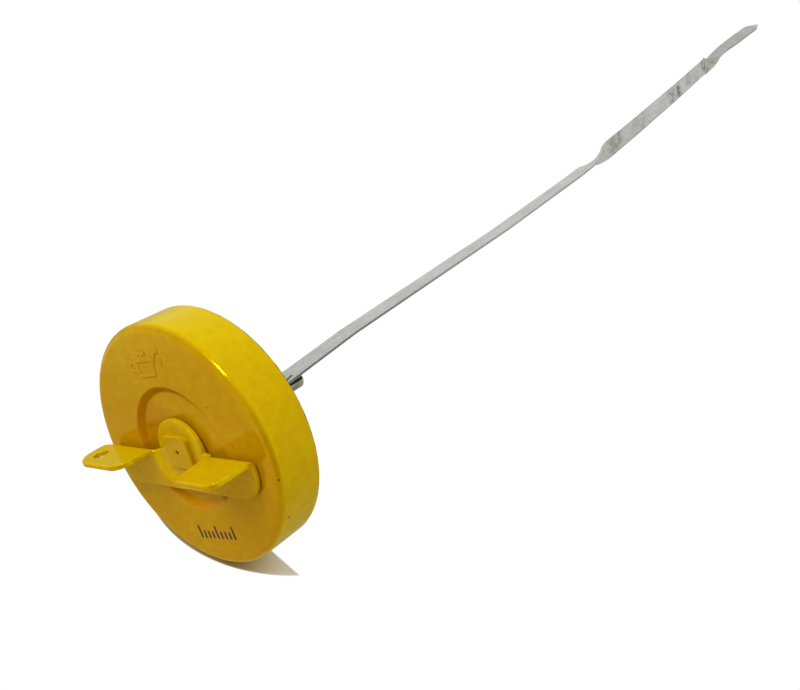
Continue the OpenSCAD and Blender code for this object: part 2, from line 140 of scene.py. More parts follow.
def start_group(name, inputs, outputs):
    """A new node group with a vector input called Place and the named inputs and outputs."""
    group = bpy.data.node_groups.new(name, "ShaderNodeTree")
    group.interface.new_socket("Place", in_out="INPUT", socket_type="NodeSocketVector")
    for label, value in inputs.items():
        socket = group.interface.new_socket(label, in_out="INPUT", socket_type="NodeSocketFloat")
        socket.default_value = value
    for label in outputs:
        group.interface.new_socket(label, in_out="OUTPUT", socket_type="NodeSocketFloat")
    return group, group.nodes.new("NodeGroupInput"), group.nodes.new("NodeGroupOutput")


def use_group(tree, group, sockets):
    """The outputs of a node group that is placed in a material with its own values."""
    return put(tree, "ShaderNodeGroup", sockets, node_tree=group).outputs


# Effects that several finishes share

# The stretch of a noise that is spread over the whole way from 0 to 1
NOISE_REACH = (0.3, 0.7)


def make_cloud():
    """Soft uneven patches: Shade goes from 0 to 1."""
    group, given, result = start_group(
        "cloud", {"Patches per metre": 60.0, "Detail": 3.0}, ["Shade"])
    noise = put(group, "ShaderNodeTexNoise", {
        "Vector": given.outputs["Place"],
        "Scale": given.outputs["Patches per metre"],
        "Detail": given.outputs["Detail"],
        "Roughness": 0.6,
    })
    feed(group, result.inputs["Shade"], over(group, noise.outputs["Fac"], NOISE_REACH))
    return group


def make_peel():
    """Orange peel and slow waves of a thick sprayed and baked coat: Height in metres."""
    group, given, result = start_group(
        "enamel_peel", {"Peel depth": 0.004 * MM, "Wave depth": 0.04 * MM}, ["Height"])
    fine = put(group, "ShaderNodeTexNoise", {
        "Vector": given.outputs["Place"], "Scale": 700.0, "Detail": 1.0, "Roughness": 0.4})
    slow = put(group, "ShaderNodeTexNoise", {
        "Vector": given.outputs["Place"], "Scale": 95.0, "Detail": 1.0, "Roughness": 0.4})
    peel = times(group, fine.outputs["Fac"], given.outputs["Peel depth"])
    wave = times(group, slow.outputs["Fac"], given.outputs["Wave depth"])
    feed(group, result.inputs["Height"], calc(group, "ADD", peel, wave))
    return group


def make_specks():
    """Sparse little dots, such as dust nibs and pinholes: Mask."""
    group, given, result = start_group(
        "specks", {"Cells per metre": 250.0, "Size": 0.12, "Share": 0.1}, ["Mask"])
    cells = put(group, "ShaderNodeTexVoronoi", {
        "Vector": given.outputs["Place"], "Scale": given.outputs["Cells per metre"]})
    dot = calc(group, "LESS_THAN", cells.outputs["Distance"], given.outputs["Size"])
    pick = put(group, "ShaderNodeSeparateColor", {"Color": cells.outputs["Color"]})
    chosen = calc(group, "LESS_THAN", pick.outputs["Red"], given.outputs["Share"])
    feed(group, result.inputs["Mask"], times(group, dot, chosen))
    return group


def make_grain():
    """Rolling and brushing lines that run along Z: Height in metres and Shade from 0 to 1."""
    group, given, result = start_group(
        "brushed_grain",
        {"Lines per metre": 2600.0, "Stretch": 0.02, "Depth": 0.003 * MM},
        ["Height", "Shade"])
    across = given.outputs["Lines per metre"]
    along = times(group, across, given.outputs["Stretch"])
    size = put(group, "ShaderNodeCombineXYZ", {"X": across, "Y": across, "Z": along})
    drawn = put(group, "ShaderNodeVectorMath",
                {0: given.outputs["Place"], 1: size.outputs["Vector"]}, operation="MULTIPLY")
    lines = put(group, "ShaderNodeTexNoise", {
        "Vector": drawn.outputs["Vector"], "Scale": 1.0, "Detail": 2.0, "Roughness": 0.6})
    feed(group, result.inputs["Shade"], over(group, lines.outputs["Fac"], NOISE_REACH))
    feed(group, result.inputs["Height"],
         times(group, lines.outputs["Fac"], given.outputs["Depth"]))
    return group


CLOUD = make_cloud()
PEEL = make_peel()
SPECKS = make_specks()
GRAIN = make_grain()


def clouded(tree, where, patches, detail):
    """Shade of soft patches, so many to the metre."""
    return use_group(tree, CLOUD, {
        "Place": where, "Patches per metre": patches, "Detail": detail})["Shade"]


def peeled(tree, where, peel_depth, wave_depth):
    """Height of a thick coat, from the depths of its orange peel and its waves."""
    return use_group(tree, PEEL, {
        "Place": where, "Peel depth": peel_depth, "Wave depth": wave_depth})["Height"]


def specked(tree, where, cells, size, share):
    """Mask of little dots: cells to the metre, dot size as part of a cell, share of cells used."""
    return use_group(tree, SPECKS, {
        "Place": where, "Cells per metre": cells, "Size": size, "Share": share})["Mask"]


# Finishes

def start_material(name, settings):
    """A new material with one Principled shader: its tree, shader and coordinates."""
    material = bpy.data.materials.new(name)
    material.use_nodes = True
    tree = material.node_tree
    shader = tree.nodes["Principled BSDF"]
    for label, value in settings.items():
        shader.inputs[label].default_value = value
    return material, tree, shader, put(tree, "ShaderNodeTexCoord").outputs


def finish(tree, shader, colour, roughness, height):
    """Feeds the shader a colour, a roughness and a bump from a height in metres."""
    feed(tree, shader.inputs["Base Color"], colour)
    feed(tree, shader.inputs["Roughness"], roughness)
    bump = put(tree, "ShaderNodeBump", {"Height": height, "Strength": 1.0, "Distance": 1.0})
    feed(tree, shader.inputs["Normal"], bump.outputs["Normal"])


# Yellow enamel

LEMON = (0.72, 0.50, 0.001, 1)
AMBER = (0.545, 0.287, 0.001, 1)
# Deep honey of painted shade and painted reflection on the enamel
SHADE_HONEY = (0.50, 0.175, 0.0005, 1)
PRIMER = (0.05, 0.035, 0.02, 1)
RIM_EDGE_DARK = (0.085, 0.065, 0.012, 1)
# Dark brown of pits, pinholes and dust nibs, and of the painted shade in the stem's dimple
PIT_AND_DIMPLE_SHADE = (0.10, 0.04, 0.004, 1)
GLAZE = (0.9, 1.0, 0.2, 1)

# A little metal in the enamel mirrors in its own yellow, so that no white veil lies on it
ENAMEL_METAL = 0.22
ENAMEL = {
    "IOR": 1.5, "Metallic": ENAMEL_METAL, "Specular IOR Level": 0.03, "Specular Tint": GLAZE,
    "Coat Weight": 0.015, "Coat Roughness": 0.03, "Coat IOR": 1.5,
}
PEEL_DEPTH = 0.005 * MM

# How far a surface faces a way, from not at all to fully
FACING_UP = (0.2, 0.95)
FACING_RIGHT = (0.3, 1.0)


def enamel_colour(tree, where, amber_share, painted_shade):
    """Yellow enamel: lemon to amber by the given amber share, with random unevenness, and towards a
    deep honey by the last mask, which carries painted shade and painted reflection.
    """
    uneven = calc(tree, "MULTIPLY_ADD", clouded(tree, where, patches=26.0, detail=1.0), 0.16, -0.08)
    grainy = calc(tree, "MULTIPLY_ADD", clouded(tree, where, patches=330.0, detail=3.0), 0.26, -0.13)
    share = calc(tree, "ADD", calc(tree, "ADD", amber_share, uneven), grainy)
    return mix_colour(tree, painted_shade, mix_colour(tree, share, LEMON, AMBER), SHADE_HONEY)


def enamel_gloss(tree, where):
    """Roughness of the enamel: mostly glossy, a little duller in patches."""
    return calc(tree, "MULTIPLY_ADD", clouded(tree, where, patches=90.0, detail=4.0), 0.07, 0.10)


# Radii at which the well's wall starts and ends
WALL_START = (WELL_R - 2.5 * MM, WELL_R - 1.7 * MM)
WALL_END = (WELL_R - 0.4 * MM, WELL_R + 0.6 * MM)

# Heights over the face at which the foot of the raised sign starts and ends
SIGN_FOOT_START = (0.015 * MM, 0.035 * MM)
SIGN_FOOT_END = (0.12 * MM, 0.19 * MM)

# Painted reflection on the well's floor beside the hub, and the height over the face of that floor
WELL_SHADE_SPOT = (-9.0 * MM, 5.5 * MM, 2.9 * MM)
WELL_SHADE_SPOT_R = (6 * MM, 10 * MM)
WELL_FLOOR = (-1.4 * MM, -1.2 * MM)

# Dark band along the rim: how far it reaches up, how ragged and how soft its upper edge is
RIM_DARK_REACH = 0.12 * MM
RIM_RAGGED = 0.3 * MM
RIM_SOFT = 0.15 * MM
SUNK_DEPTH = 0.06 * MM


def on_skirt(angle, z):
    """A point on the outside of the skirt, from its angle in degrees and its height in mm."""
    turn = math.radians(angle)
    return (CAP_R * math.cos(turn), CAP_R * math.sin(turn), z * MM)


# Marks of wear on the cap, each a point and a radius
CAP_PITS = [
    ((18.0 * MM, 14.1 * MM, FACE_Z), 0.36 * MM),
    ((-1.6 * MM, -33.0 * MM, FACE_Z), 0.3 * MM),
    ((36.9 * MM, -6.2 * MM, 3.7 * MM), 0.5 * MM),
    (on_skirt(-30.7, 1.1), 0.6 * MM),
]
RIM_CHIPS = [
    (on_skirt(-51.5, -10.8), 1.1 * MM),
    (on_skirt(8.2, -10.9), 0.55 * MM),
    (on_skirt(5.6, -10.95), 0.4 * MM),
]


def worn_marks(tree, where, marks, core):
    """Mask of round marks; core is the part of a mark's radius that is fully worn."""
    return most(tree, [spot(tree, where, centre, size * core, size) for centre, size in marks])


def painted_shade_on_cap(tree, where, at):
    """Painted shade on the cap, in honey: the well's wall and the sign's foot, and a painted
    reflection on the well's floor.
    """
    out = off_axis(tree, at)
    height = calc(tree, "SUBTRACT", at["Z"], FACE_Z)
    on_wall = times(tree, over(tree, out, WALL_START), under(tree, out, WALL_END))
    at_foot = times(tree, over(tree, height, SIGN_FOOT_START), under(tree, height, SIGN_FOOT_END))
    in_well = times(tree, spot(tree, where, WELL_SHADE_SPOT, *WELL_SHADE_SPOT_R),
                    under(tree, height, WELL_FLOOR))
    return most(tree, [times(tree, on_wall, 0.6), at_foot, times(tree, in_well, 0.5)])


def dark_rim_edge(tree, where, at):
    """Mask of a dark band along the rim's edge, with a ragged border."""
    ragged = clouded(tree, where, patches=420.0, detail=4.0)
    reach = calc(tree, "MULTIPLY_ADD", ragged, RIM_RAGGED, RIM_Z + RIM_DARK_REACH)
    return under(tree, calc(tree, "SUBTRACT", at["Z"], reach), (0.0, RIM_SOFT))


def cap_enamel():
    """Enamel of the cap: lemon skirt; amber face and right side as painted shade; painted shade in
    the well and at the sign's foot; a dark rim edge, small pits and chips.
    """
    material, tree, shader, place = start_material("cap_enamel", ENAMEL)
    where = place["Object"]
    at = split(tree, where)
    facing = split(tree, place["Normal"])
    # Painted shade: the face and the side facing +X are mixed towards amber by the way they face, as
    # if they lay darker under the light.
    on_face = over(tree, facing["Z"], FACING_UP)
    on_side = over(tree, facing["X"], FACING_RIGHT)
    amber = calc(tree, "MULTIPLY_ADD", on_face, 0.92, times(tree, on_side, 0.35))
    colour = enamel_colour(tree, where, amber, painted_shade_on_cap(tree, where, at))

    rim = dark_rim_edge(tree, where, at)
    pits = worn_marks(tree, where, CAP_PITS, 0.5)
    chips = worn_marks(tree, where, RIM_CHIPS, 0.55)
    stray = specked(tree, where, cells=120.0, size=0.028, share=0.12)
    colour = mix_colour(tree, times(tree, stray, 0.5), colour, PIT_AND_DIMPLE_SHADE)
    colour = mix_colour(tree, times(tree, pits, 0.8), colour, PIT_AND_DIMPLE_SHADE)
    colour = mix_colour(tree, rim, colour, RIM_EDGE_DARK)
    colour = mix_colour(tree, chips, colour, PRIMER)

    bare = calc(tree, "MAXIMUM", times(tree, rim, 0.7), chips)
    rough = calc(tree, "MULTIPLY_ADD", bare, 0.45, enamel_gloss(tree, where))
    sunk = times(tree, calc(tree, "MAXIMUM", pits, bare), SUNK_DEPTH)
    coat = peeled(tree, where, peel_depth=PEEL_DEPTH, wave_depth=0.05 * MM)
    finish(tree, shader, colour, rough, calc(tree, "SUBTRACT", coat, sunk))
    return material


# Radius at which the hub ends and the arms start
HUB_EDGE = (12 * MM, 15 * MM)


def handle_enamel():
    """Enamel of the wing handle, with painted shade on its arms and less of it on its hub."""
    material, tree, shader, place = start_material("handle_enamel", ENAMEL)
    where = place["Object"]
    facing = split(tree, place["Normal"])
    # Painted shade: the arms, which face up under the wings, are mixed towards amber as if in the
    # wings' shadow, less on the hub; thick is that share.
    on_arms = over(tree, facing["Z"], FACING_UP)
    in_hub = under(tree, off_axis(tree, split(tree, where)), HUB_EDGE)
    thick = calc(tree, "MULTIPLY_ADD", in_hub, -0.25, 0.72)
    amber = calc(tree, "MULTIPLY_ADD", on_arms, thick, 0.1)
    colour = enamel_colour(tree, where, amber, 0.0)
    nibs = specked(tree, where, cells=200.0, size=0.04, share=0.25)
    colour = mix_colour(tree, times(tree, nibs, 0.45), colour, PIT_AND_DIMPLE_SHADE)
    finish(tree, shader, colour, enamel_gloss(tree, where),
           peeled(tree, where, peel_depth=PEEL_DEPTH, wave_depth=0.03 * MM))
    return material


# Steel of the strip

STEEL = (0.49, 0.49, 0.475, 1)
STEEL_DARK = (0.18, 0.18, 0.165, 1)
# Dark steel of the painted shade on the strip's thin edges
EDGE_SHADE_STEEL = (0.10, 0.10, 0.09, 1)
STAIN = (0.12, 0.12, 0.055, 1)
# Black of the painted shadow in the stem's joint, and of the black spots on the strip
SHADOW_BLACK_AND_SPOTS = (0.012, 0.011, 0.008, 1)

# Heights along the strip: its twists, the level stretch between them, the tip, the darker wetted end,
# and the stretch near the cap where its edges get more painted shade
FIRST_TWIST = (-268 * MM, -262 * MM)
LEVEL_START = (-288 * MM, -284 * MM)
LEVEL_END = (-440 * MM, -436 * MM)
TIP_START = (-472 * MM, -462 * MM)
WETTED = (-470 * MM, -436 * MM)
EDGE_SHADE_NEAR_CAP = (-200 * MM, -30 * MM)

# The strip leans in Y as it goes along Z, and more so past its bend
UPPER_LEAN = -0.068
BEND_Z = -270 * MM
ADDED_LEAN = 0.052

# Middle line of the level stretch in Y, and the edges of level stretch and tip that get painted shade
LEVEL_LEAN = -0.1196
LEVEL_Y = -15.53 * MM
LOW_EDGE = (-4.15 * MM, -3.7 * MM)
RIGHT_EDGE = (3.5 * MM, 4.1 * MM)
FACING_ACROSS = (0.75, 0.9)

# Oil stains on the strip: distance below the face, lean, size in mm and strength
STRIP_STAINS = [
    (298, 20.3, 11, 0.5), (305, 22.0, 8, 0.5), (332, 24.8, 13, 0.3),
    (382, 29.8, 8, 0.6), (394, 30.6, 6.5, 0.85), (411, 34.3, 6, 0.4), (424, 33.6, 7, 0.25),
    (437, 38.6, 5, 0.65), (440, 37.0, 5, 0.7), (442, 35.4, 5, 0.55), (451, 39.0, 9, 0.4),
]
STAIN_CORE = 0.15

# Black spots on the strip, near the cap
STRIP_BLACK_SPOTS = [
    (2.1 * MM, 3.0 * MM, -39.9 * MM),
    (2.4 * MM, 2.9 * MM, -38.6 * MM),
    (2.7 * MM, 2.8 * MM, -37.4 * MM),
]
STRIP_BLACK_SPOTS_R = (0.55 * MM, 0.85 * MM)


def strip_grain(tree, at):
    """Rolling lines that follow the strip's lean: their Height and Shade."""
    lean = times(tree, at["Z"], UPPER_LEAN)
    past_bend = calc(tree, "MAXIMUM", calc(tree, "SUBTRACT", BEND_Z, at["Z"]), 0.0)
    lean = calc(tree, "MULTIPLY_ADD", past_bend, ADDED_LEAN, lean)
    along = put(tree, "ShaderNodeCombineXYZ", {
        "X": at["X"], "Y": calc(tree, "SUBTRACT", at["Y"], lean), "Z": at["Z"]})
    return use_group(tree, GRAIN, {
        "Place": along.outputs["Vector"], "Lines per metre": 1500.0, "Stretch": 0.035,
        "Depth": 0.006 * MM})


def strip_edge_shade(tree, at, facing):
    """Mask of painted shade on the strip's thin edges, on the upper stretch, the level stretch and
    the tip.
    """
    sideways = over(tree, calc(tree, "ABSOLUTE", facing["X"]), FACING_ACROSS)
    upright = over(tree, calc(tree, "ABSOLUTE", facing["Y"]), FACING_ACROSS)
    on_upper = over(tree, at["Z"], FIRST_TWIST)
    on_level = times(tree, under(tree, at["Z"], LEVEL_START), over(tree, at["Z"], LEVEL_END))
    on_tip = under(tree, at["Z"], TIP_START)
    middle = calc(tree, "MULTIPLY_ADD", at["Z"], LEVEL_LEAN, LEVEL_Y)
    low_side = under(tree, calc(tree, "SUBTRACT", at["Y"], middle), LOW_EDGE)
    right_side = over(tree, at["X"], RIGHT_EDGE)
    near_cap = calc(tree, "MULTIPLY_ADD", over(tree, at["Z"], EDGE_SHADE_NEAR_CAP), 0.45, 0.45)
    return most(tree, [
        times(tree, sideways, on_upper, near_cap),
        times(tree, upright, on_level, 0.75),
        times(tree, low_side, on_level, 0.5),
        times(tree, right_side, on_tip, 0.6),
    ])


def strip_stains(tree, where):
    """Mask of the oil stains on the strip."""
    marks = []
    for away, lean, size, strength in STRIP_STAINS:
        centre = (0.0, lean * MM, FACE_Z - away * MM)
        blot = spot(tree, where, centre, STAIN_CORE * size * MM, size * MM)
        marks.append(times(tree, blot, strength))
    return most(tree, marks)


def strip_steel():
    """Rolled stainless strip: fine lines along it, clouded, with oil stains where it reads, painted
    shade on its edges and black spots near the cap.
    """
    material, tree, shader, place = start_material("strip_steel", {"Metallic": 1.0})
    where = place["Object"]
    at = split(tree, where)
    grain = strip_grain(tree, at)
    small = clouded(tree, where, patches=300.0, detail=4.0)
    worn = times(tree, grain["Shade"], 0.08)
    worn = calc(tree, "MULTIPLY_ADD", clouded(tree, where, patches=55.0, detail=3.0), 0.16, worn)
    worn = calc(tree, "MULTIPLY_ADD", small, 0.1, worn)
    worn = calc(tree, "MULTIPLY_ADD", clouded(tree, where, patches=1000.0, detail=2.0), 0.3, worn)
    worn = calc(tree, "MULTIPLY_ADD", under(tree, at["Z"], WETTED), 0.38, worn)
    colour = mix_colour(tree, worn, STEEL, STEEL_DARK)
    # Painted shade: the strip's thin edges are coloured dark, more so near the cap.
    edges = strip_edge_shade(tree, at, split(tree, place["Normal"]))
    colour = mix_colour(tree, edges, colour, EDGE_SHADE_STEEL)

    broken = calc(tree, "MULTIPLY_ADD", over(tree, small, (0.2, 0.7)), 0.75, 0.3)
    stain = times(tree, strip_stains(tree, where), broken)
    colour = mix_colour(tree, stain, colour, STAIN)
    run = most(tree, [spot(tree, where, point, *STRIP_BLACK_SPOTS_R) for point in STRIP_BLACK_SPOTS])
    colour = mix_colour(tree, run, colour, SHADOW_BLACK_AND_SPOTS)

    rough = calc(tree, "MULTIPLY_ADD", grain["Shade"], 0.12, 0.30)
    rough = calc(tree, "MULTIPLY_ADD", stain, 0.2, rough)
    dug = times(tree, specked(tree, where, cells=260.0, size=0.1, share=0.12), 0.02 * MM)
    finish(tree, shader, colour, rough, calc(tree, "SUBTRACT", grain["Height"], dug))
    return material


# Steel and paint of the stem

STEM_STEEL = (0.27, 0.255, 0.225, 1)
STEM_DARK = (0.12, 0.11, 0.092, 1)
# Dark brown of the painted shade on the tongue's rounded nose
NOSE_SHADE = (0.12, 0.095, 0.075, 1)
STEM_GLAZE = (1, 1, 0.75, 1)

# Heights on the stem: where its paint starts, the top of its dimple, which is painted dark as shade,
# and its nose, which gets painted shade
PAINT_LINE = (4.9 * MM, 5.1 * MM)
DIMPLE_TOP = (6.1 * MM, 6.4 * MM)
NOSE = (-45.1 * MM, -44.5 * MM)
DIMPLE_EDGE = (0.65 * MM, 0.85 * MM)

# Side of the tongue that lies in the joint under the strip's overhang, painted black as its shadow,
# which starts earlier on the nose
JOINT_SIDE = (0.25 * MM, 0.65 * MM)
NOSE_SHIFT = 0.8 * MM


def stem_finish():
    """Turned steel stem whose square head is painted with the handle, with painted shade in the
    head's dimple, on the tongue's nose and under the strip's overhang.
    """
    material, tree, shader, place = start_material("stem_finish", {
        "IOR": 1.5, "Specular IOR Level": 0.03, "Specular Tint": STEM_GLAZE})
    where = place["Object"]
    at = split(tree, where)
    painted = over(tree, at["Z"], PAINT_LINE)
    # Painted shade: the inside of the head's dimple is coloured dark brown.
    dimple_shade = times(tree, under(tree, off_axis(tree, at), DIMPLE_EDGE),
                      under(tree, at["Z"], DIMPLE_TOP))
    paint = mix_colour(tree, dimple_shade, enamel_colour(tree, where, 0.8, 0.0), PIT_AND_DIMPLE_SHADE)

    rings = clouded(tree, where, patches=240.0, detail=4.0)
    steel = mix_colour(tree, rings, STEM_STEEL, STEM_DARK)
    on_nose = under(tree, at["Z"], NOSE)
    # Painted shade: the tongue's rounded nose is darkened towards dark brown.
    steel = mix_colour(tree, times(tree, on_nose, 0.7), steel, NOSE_SHADE)
    # Painted shadow: the tongue's side under the strip's overhang is coloured black and made less
    # metallic.
    joint_shadow = over(tree, calc(tree, "MULTIPLY_ADD", on_nose, NOSE_SHIFT, at["Y"]), JOINT_SIDE)
    steel = mix_colour(tree, joint_shadow, steel, SHADOW_BLACK_AND_SPOTS)

    metal = calc(tree, "MULTIPLY_ADD", painted, ENAMEL_METAL - 1.0, 1.0)
    metal = calc(tree, "SUBTRACT", metal, joint_shadow)
    feed(tree, shader.inputs["Metallic"], calc(tree, "MAXIMUM", metal, ENAMEL_METAL))
    rough = calc(tree, "MULTIPLY_ADD", rings, 0.12, 0.26)
    coat = peeled(tree, where, peel_depth=0.006 * MM, wave_depth=0.03 * MM)
    finish(tree, shader, mix_colour(tree, painted, steel, paint), rough, coat)
    return material


# Fittings, rubber and ink

ZINC = (0.62, 0.62, 0.60, 1)
ZINC_DULL = (0.36, 0.36, 0.33, 1)
WIRE = (0.40, 0.41, 0.43, 1)
WIRE_DULL = (0.2, 0.2, 0.2, 1)
RUBBER = (0.018, 0.018, 0.018, 1)
RUBBER_DULL = (0.045, 0.042, 0.038, 1)
DUST = (0.16, 0.14, 0.11, 1)
INK = (0.032, 0.018, 0.004, 1)
INK_THIN = (0.30, 0.15, 0.005, 1)


def plated_steel(name, pale, dull, rough):
    """Zinc-plated or oiled steel of the hidden fittings, with clouded plating."""
    material, tree, shader, place = start_material(name, {"Metallic": 1.0})
    where = place["Object"]
    cloud = clouded(tree, where, patches=140.0, detail=4.0)
    fine = clouded(tree, where, patches=900.0, detail=3.0)
    grime = specked(tree, where, cells=420.0, size=0.16, share=0.15)
    shade = calc(tree, "MULTIPLY_ADD", fine, 0.3, times(tree, cloud, 0.6))
    shade = calc(tree, "MAXIMUM", shade, times(tree, grime, 0.9))
    finish(tree, shader, mix_colour(tree, shade, pale, dull),
           calc(tree, "MULTIPLY_ADD", cloud, 0.15, rough), times(tree, fine, 0.004 * MM))
    return material


def sealing_rubber():
    """Black nitrile rubber, dulled by dust and a film of oil."""
    material, tree, shader, place = start_material("sealing_rubber", {"IOR": 1.52})
    where = place["Object"]
    film = clouded(tree, where, patches=160.0, detail=4.0)
    dust = specked(tree, where, cells=900.0, size=0.14, share=0.2)
    colour = mix_colour(tree, film, RUBBER, RUBBER_DULL)
    colour = mix_colour(tree, times(tree, dust, 0.5), colour, DUST)
    finish(tree, shader, colour, calc(tree, "MULTIPLY_ADD", film, -0.25, 0.72),
           times(tree, clouded(tree, where, patches=1500.0, detail=2.0), 0.015 * MM))
    return material


def marking_ink():
    """Dark brown stencil ink, thin enough at places to let the enamel through."""
    material, tree, shader, place = start_material(
        "marking_ink", {"IOR": 1.5, "Specular IOR Level": 0.1})
    faint = times(tree, clouded(tree, place["Object"], patches=900.0, detail=3.0), 0.3)
    feed(tree, shader.inputs["Base Color"], mix_colour(tree, faint, INK, INK_THIN))
    feed(tree, shader.inputs["Roughness"], calc(tree, "MULTIPLY_ADD", faint, 0.2, 0.3))
    return material


# Pieces

def mesh_object(name, mesh, material, smooth=True):
    """A new object in the scene with one material."""
    made = bpy.data.objects.new(name, mesh)
    bpy.context.scene.collection.objects.link(made)
    mesh.materials.clear()
    mesh.materials.append(material)
    mesh.polygons.foreach_set("use_smooth", [smooth] * len(mesh.polygons))
    return made


def finished_mesh(name, solid):
    """Turns finished bmesh work into a mesh."""
    mesh = bpy.data.meshes.new(name)
    solid.to_mesh(mesh)
    solid.free()
    return mesh


# Size of the mesh that the painted handle is made of, and how often its edges are smoothed
PAINT_MESH = 0.26 * MM
PAINT_ROUNDS = 7


def painted_handle(material):
    """The folded handle with the edges that a thick coat of enamel rounds off."""
    bare = bpy.data.objects.new("bare_handle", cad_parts["wing_handle"].data.copy())
    bpy.context.scene.collection.objects.link(bare)
    remesh = bare.modifiers.new("even_mesh", "REMESH")
    remesh.mode = "VOXEL"
    remesh.voxel_size = PAINT_MESH
    soften = bare.modifiers.new("rounded_edges", "SMOOTH")
    soften.factor = 0.5
    soften.iterations = PAINT_ROUNDS
    graph = bpy.context.evaluated_depsgraph_get()
    mesh = bpy.data.meshes.new_from_object(bare.evaluated_get(graph))
    bpy.data.objects.remove(bare)
    handle = mesh_object("painted_wing_handle", mesh, material)
    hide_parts("wing_handle")
    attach(handle, "handle")


def on_sign(u, v, centre, z):
    """A point of a sign on the face, from its own right and up in mm."""
    x = centre[0] + u * math.cos(SIGN_TURN) - v * math.sin(SIGN_TURN)
    y = centre[1] + u * math.sin(SIGN_TURN) + v * math.cos(SIGN_TURN)
    return (x * MM, y * MM, z)


# Raised oil-can sign, in mm: its centre on the face, and its strokes as lists of points
CAN_CENTRE = (-3.5, 26.3)
CAN_STROKES = [
    [(-3.6, -3.4), (3.2, -3.4), (3.9, 1.2), (-4.2, 1.2), (-3.6, -3.4)],
    [(3.7, -0.6), (6.6, 3.1), (7.9, 3.1)],
    [(-4.1, 0.4), (-6.9, 1.7), (-7.1, -1.0), (-3.8, -2.0)],
    [(0.0, 1.2), (0.0, 3.2)],
    [(-1.6, 3.3), (1.6, 3.3)],
    [(7.9, 0.5), (7.9, -0.4)],
]

# Half the sign's field, the size of its mesh, and the section of its ridges, in mm
CAN_HALF_W = 9.2
CAN_HALF_H = 5.2
CAN_STEP = 0.11
RIDGE_HALF_W = 0.42
RIDGE_SLOPE_W = 0.34
RIDGE_H = 0.22

# The field lies just over the face, its border is tucked under it, and its root is deeper, in mm
FIELD_OVER = 0.012
BORDER_UNDER = 0.03
ROOT_UNDER = 0.15


def stroke_distance(u, v):
    """Distance from a point to the nearest stroke of the sign, in mm."""
    nearest = math.inf
    for stroke in CAN_STROKES:
        for a, b in zip(stroke, stroke[1:]):
            du = b[0] - a[0]
            dv = b[1] - a[1]
            t = ((u - a[0]) * du + (v - a[1]) * dv) / (du * du + dv * dv)
            t = min(1.0, max(0.0, t))
            nearest = min(nearest, math.hypot(u - a[0] - t * du, v - a[1] - t * dv))
    return nearest


def ridge_height(u, v):
    """Height of the pressed ridges over the sign's field, in mm."""
    t = min(1.0, max(0.0, 1 - (stroke_distance(u, v) - RIDGE_HALF_W) / RIDGE_SLOPE_W))
    return RIDGE_H * t * t * (3 - 2 * t)


def sign_grid(solid, rows, columns):
    """The sign's top as rows of points, with its border tucked under the face."""
    grid = []
    for row in range(rows):
        line = []
        for column in range(columns):
            u = -CAN_HALF_W + 2 * CAN_HALF_W * column / (columns - 1)
            v = -CAN_HALF_H + 2 * CAN_HALF_H * row / (rows - 1)
            on_border = row in (0, rows - 1) or column in (0, columns - 1)
            lift = ridge_height(u, v) + (-BORDER_UNDER if on_border else FIELD_OVER)
            line.append(solid.verts.new(on_sign(u, v, CAN_CENTRE, FACE_Z + lift * MM)))
        grid.append(line)
    return grid


def raised_sign(material):
    """Oil-can sign pressed up from behind: low ridges that the turning arms pass over."""
    columns = int(2 * CAN_HALF_W / CAN_STEP) + 1
    rows = int(2 * CAN_HALF_H / CAN_STEP) + 1
    solid = bmesh.new()
    grid = sign_grid(solid, rows, columns)
    for near, far in zip(grid, grid[1:]):
        for column in range(columns - 1):
            solid.faces.new((near[column], near[column + 1], far[column + 1], far[column]))

    border = list(grid[0])
    border += [line[-1] for line in grid[1:]]
    border += grid[-1][-2::-1]
    border += [line[0] for line in grid[-2:0:-1]]
    root_z = FACE_Z - ROOT_UNDER * MM
    root = [solid.verts.new((point.co.x, point.co.y, root_z)) for point in border]
    for i in range(len(border)):
        j = (i + 1) % len(border)
        solid.faces.new((border[j], border[i], root[i], root[j]))
    underside = solid.faces.new(root[::-1])
    bmesh.ops.triangulate(solid, faces=[underside])
    sign = mesh_object("raised_sign", finished_mesh("raised_sign", solid), material)
    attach(sign, "cap")


# Printed row of bars, in mm: its centre on the face, its bars, and how it lies on the face
MARKS_CENTRE = (2.1, -27.0)
BAR_COUNT = 9
BAR_ROW_W = 16.0
BAR_W = 0.95
LONG_BAR = 4.4
SHORT_BAR = 2.6
LONG_EVERY = 4
BAR_CORNER = 0.3
INK_OVER = 0.02
INK_UNDER = 0.05


def bar_block(solid, u, v, tall):
    """One printed bar with cut corners, as a thin closed block."""
    half_w = BAR_W / 2
    half_h = tall / 2
    cut = min(BAR_W, tall) * BAR_CORNER
    outline = [
        (half_w - cut, -half_h), (half_w, cut - half_h),
        (half_w, half_h - cut), (half_w - cut, half_h),
        (cut - half_w, half_h), (-half_w, half_h - cut),
        (-half_w, cut - half_h), (cut - half_w, -half_h),
    ]
    top_z = FACE_Z + INK_OVER * MM
    foot_z = FACE_Z - INK_UNDER * MM
    top = [solid.verts.new(on_sign(u + a, v + b, MARKS_CENTRE, top_z)) for a, b in outline]
    foot = [solid.verts.new(on_sign(u + a, v + b, MARKS_CENTRE, foot_z)) for a, b in outline]
    solid.faces.new(top)
    solid.faces.new(foot[::-1])
    for i in range(len(outline)):
        j = (i + 1) % len(outline)
        solid.faces.new((top[j], top[i], foot[i], foot[j]))


